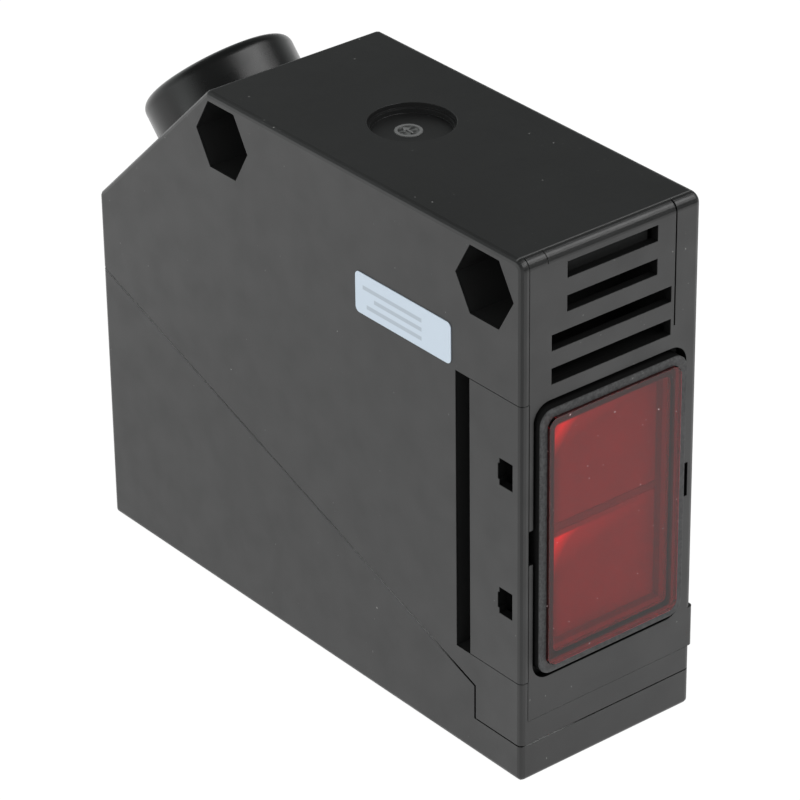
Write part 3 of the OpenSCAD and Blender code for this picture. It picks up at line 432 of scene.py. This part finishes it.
joints = ((seam_lips, SEAM_LIP), (toe_lips, SEAM_LIP))
body_marks = ((stamp_disc, (0.075, 0.077, 0.075)), (date_stamp, (0.1, 0.1, 0.1)),
              (seat_highlight, (0.05, 0.05, 0.05)), *joints)
body_plastic = moulded_plastic("body_plastic", BODY_BLACK, 0.4, edge=0.12 * MM, dust=0.02,
                               specular=0.55, hollow=housing_depths, hollow_tone=0.011,
                               marks=body_marks)
cover_plastic = moulded_plastic("cover_plastic", BODY_BLACK, 0.4, edge=0.12 * MM, dust=0.02,
                                specular=0.55, hollow=cover_depths, marks=joints)
frame_plastic = moulded_plastic("frame_plastic", BODY_BLACK, 0.4, edge=0.1 * MM, dust=0.03,
                                specular=0.55, hollow=frame_depths, hollow_tone=0.005)
bezel_plastic = moulded_plastic("bezel_plastic", (0.021, 0.021, 0.0215), 0.6, depth=0.035 * MM,
                                edge=0.03 * MM, dust=0.05, specular=0.38, hollow=bezel_depths,
                                speckle=0.5)
satin_plastic = moulded_plastic("satin_plastic", (0.0035, 0.0036, 0.0036), 0.29, grain=0.6 * MM,
                                depth=0.002 * MM, edge=0.15 * MM, specular=0.33)
# the carrier's dark red and the lighter red of its well walls are painted light: the red light that
# reaches them through the pane
well_plastic = moulded_plastic("well_plastic", (0.06, 0.018, 0.016), 0.5,
                               marks=((well_walls, (0.17, 0.04, 0.04)),))
# the gasket's red is painted light: the red glow that fills the margin behind the pane
margin_red = moulded_plastic("margin_red", (0.2, 0.02, 0.035), 0.6, grain=0.5 * MM, depth=0.02 * MM)
dark_plastic = moulded_plastic("dark_plastic", (0.02, 0.02, 0.022), 0.5)
seal_rubber = moulded_plastic("seal_rubber", (0.012, 0.012, 0.012), 0.75, grain=0.4 * MM)
terminal_plastic = moulded_plastic("terminal_plastic", (0.16, 0.165, 0.17), 0.45)
blue_plastic = moulded_plastic("blue_plastic", (0.03, 0.09, 0.35), 0.35)
white_plastic = moulded_plastic("white_plastic", (0.72, 0.72, 0.7), 0.4)
coil_tape = moulded_plastic("coil_tape", (0.75, 0.5, 0.08), 0.4)
ferrite = moulded_plastic("ferrite", (0.06, 0.06, 0.065), 0.6, grain=0.5 * MM)
clear_lens = moulded_plastic("clear_lens", (0.75, 0.76, 0.78), 0.08)
steel = metal("screw_steel", (0.62, 0.62, 0.64), 0.3)
brass = metal("machined_brass", (0.8, 0.58, 0.25), 0.28)
green_board = circuit_board("green_board", (0.02, 0.16, 0.06))
# rim is painted light on the pane's far edges, near_rim painted shade on its near edges
pane_red = red_pane("pane_red", (0.98, 0.03, 0.03), pane_low, pane_high, rim=(0.17, 0.045, 0.06),
                    near_rim=(0.02, 0.004, 0.004))
# the corner of each filter that the well's left and upper walls leave in sight
upper_corner = (emitter_low.x + 1.75 * MM, emitter_high.z - 1.6 * MM)
lower_corner = (receiver_low.x + 1.75 * MM, receiver_high.z - 0.9 * MM)
upper_filter = light_filter("upper_filter", FILTER_RED, upper_corner, 5.0 * MM, 5.0 * MM, 0.85, WEDGE_RED)
lower_filter = light_filter("lower_filter", FILTER_RED, lower_corner, 6.2 * MM, 7.4 * MM, 0.62, WEDGE_RED)
label_film = printed_label("label_film", (0.39, 0.445, 0.51), label_low, label_high)


def dress(materials):
    """Gives each node its material."""
    for node, material in materials.items():
        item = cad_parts[node]
        item.data.materials.clear()
        item.data.materials.append(material)


dress({
    "housing": body_plastic, "terminal_cover": cover_plastic, "front_frame": frame_plastic,
    "window_bezel": bezel_plastic, "window_gasket": margin_red, "window_pane": pane_red,
    "optics_carrier": well_plastic, "emitter_filter": upper_filter, "receiver_filter": lower_filter,
    "emitter_lens": clear_lens, "receiver_lens": clear_lens, "emitter_led": clear_lens,
    "photodiode": dark_plastic, "receiver_shield": steel, "optics_board": green_board,
    "optics_board_screws": steel, "carrier_screws": steel, "board_header": brass,
    "main_board": green_board, "main_board_screws": steel, "relay": dark_plastic,
    "transformer_core": ferrite, "transformer_coil": coil_tape, "filter_capacitor": blue_plastic,
    "surge_varistor": blue_plastic, "control_chip": dark_plastic, "terminal_block": terminal_plastic,
    "terminal_clamps": steel, "terminal_screws": steel, "control_board": green_board,
    "trimmer_body": blue_plastic, "trimmer_rotor": white_plastic, "switch_body": dark_plastic,
    "switch_slider": white_plastic, "cover_seal": seal_rubber, "cover_screws": steel,
    "threaded_inserts": brass, "gland_body": satin_plastic, "gland_seal": seal_rubber,
    "gland_washer": steel, "gland_screw": satin_plastic, "gland_locknut": satin_plastic,
    "type_label": label_film,
})


def plain_view(n):
    """The kinds of ray, and a mask of those that see the white backdrop as it is."""
    path = n.add("ShaderNodeLightPath").outputs
    return path, n.highest(path["Is Camera Ray"], path["Is Transmission Ray"])


def studio_floor():
    """White paper, which glows plain white to the camera and unevenly to what mirrors it."""
    bpy.ops.mesh.primitive_plane_add(size=FLOOR_SIZE, location=(0, 0, 0))
    floor = bpy.context.object
    floor.name = "floor"
    material, n = new_material("floor_white")
    where, x, y, z = n.place()
    base = n.mix(n.noise(where, 0.04, 3.0), rgba((0.86, 0.86, 0.86)), rgba((0.9, 0.9, 0.9)))
    matt = n.add("ShaderNodeBsdfDiffuse", {"Color": base})
    # the paper as the object's sides mirror it: dimmer towards the photographer, brighter behind
    to_right, to_left = n.along(x, y, FRONT_RIGHT), n.along(x, y, FRONT_LEFT)
    # the strip that the front frame's left wing mirrors
    strip = n.product(n.ramp(to_left, 0.035, 0.039, 0.0, 0.25), n.ramp(to_right, 0.0, 0.03, 1.0, 0.0))
    mirrored = n.total(n.ramp(to_right, 0.02, 0.1, 1.08, 1.5), n.ramp(to_left, 0.05, 0.16, 0.0, -0.6),
                       n.ramp(x, -0.06, -0.09, 0.0, -0.08), n.ramp(y, 0.075, 0.11, 0.0, 0.22),
                       n.ramp(x, -0.2, -0.5, 0.0, 0.35), strip)
    mirrored = n.product(mirrored, n.ramp(to_right, 0.25, 0.45, 1.0, 0.15))
    path, plain = plain_view(n)
    glow = n.add("ShaderNodeEmission", {"Color": rgba(WHITE), "Strength": n.blend(plain, mirrored, 1.03)})
    glowing = n.product(n.highest(plain, path["Is Glossy Ray"]), 0.95)
    mixed = n.add("ShaderNodeMixShader", {0: glowing, 1: matt.outputs[0], 2: glow.outputs[0]})
    n.add("ShaderNodeOutputMaterial", {"Surface": mixed.outputs[0]})
    floor.data.materials.append(material)


def studio_world():
    """White to the camera, soft to matt surfaces, and a dark room with a few bright parts in mirrors."""
    world = bpy.data.worlds.new("studio")
    bpy.context.scene.world = world
    world.use_nodes = True
    n = Nodes(world.node_tree)
    direction = n.add("ShaderNodeTexCoord").outputs["Generated"]
    x, y, z = n.add("ShaderNodeSeparateXYZ", {0: direction}).outputs
    # a bright backdrop at the rear left, a dark room above and in front
    backdrop = n.product(n.ramp(n.along(x, y, REAR_LEFT), 0.3, 0.6), n.ramp(z, 0.4, 0.58, 1.0, 0.0))
    # a bright window low on the left and a dim one on the right, seen in the gland's collar alone
    windows = n.product(n.total(n.ramp(x, -0.8, -0.95, 0.0, 1.3), n.ramp(x, 0.7, 0.95, 0.0, 0.7)),
                        n.ramp(z, 0.35, 0.1))
    # the back wall on the right is a little brighter than the rest of the room
    back_wall = n.ramp(n.along(x, y, REAR_RIGHT), 0.6, 0.8, 0.0, 0.09)
    mirrored = n.total(backdrop, 0.13, windows, back_wall)
    path, plain = plain_view(n)
    soft = n.blend(path["Is Diffuse Ray"], mirrored, 0.8)
    tint = n.mix(plain, rgba((0.96, 1.0, 0.99)), rgba(WHITE))
    background = n.add("ShaderNodeBackground", {"Color": tint, "Strength": n.blend(plain, soft, 1.0)})
    n.add("ShaderNodeOutputWorld", {"Surface": background.outputs[0]})


def softbox(name, place, aim, size, power, mirrored=True):
    """A rectangular area lamp at a place, turned to its aim."""
    data = bpy.data.lights.new(name, "AREA")
    data.shape = "RECTANGLE"
    data.size, data.size_y = size
    data.energy = power
    lamp = bpy.data.objects.new(name, data)
    lamp.visible_glossy = mirrored
    bpy.context.scene.collection.objects.link(lamp)
    lamp.location = place
    lamp.rotation_euler = (Vector(aim) - Vector(place)).to_track_quat("-Z", "Y").to_euler()


def photo_camera():
    """The camera that took the photograph, as fitted to the object's edges."""
    back = Vector((math.sin(AZIMUTH) * math.cos(ELEVATION),
                   -math.cos(AZIMUTH) * math.cos(ELEVATION), math.sin(ELEVATION)))
    level_right = (-back).cross(Vector((0, 0, 1))).normalized()
    level_up = level_right.cross(-back)
    right = math.cos(ROLL) * level_right + math.sin(ROLL) * level_up
    up = -math.sin(ROLL) * level_right + math.cos(ROLL) * level_up
    data = bpy.data.cameras.new("photo_camera")
    data.sensor_width = SENSOR
    data.lens = FOCAL_PX / IMAGE_PX * SENSOR
    data.clip_start, data.clip_end = 0.01, 20.0
    camera = bpy.data.objects.new("photo_camera", data)
    bpy.context.scene.collection.objects.link(camera)
    turn = Matrix((right, up, back)).transposed()
    camera.matrix_world = Matrix.Translation(TARGET + back * DISTANCE) @ turn.to_4x4()
    bpy.context.scene.camera = camera


studio_floor()
studio_world()
softbox("side_softbox", (-0.9, -0.15, 0.35), (0, 0, 0.04), (0.7, 0.7), 5.0, mirrored=False)
softbox("upper_softbox", (0.27, -0.5, 0.72), (0, 0, 0.05), (0.76, 0.4), 2.9)
softbox("upper_fill", (0.38, -0.5, 0.74), (0, 0, 0.05), (1.26, 0.4), 3.4)
photo_camera()
bpy.context.scene.view_settings.view_transform = "Standard"
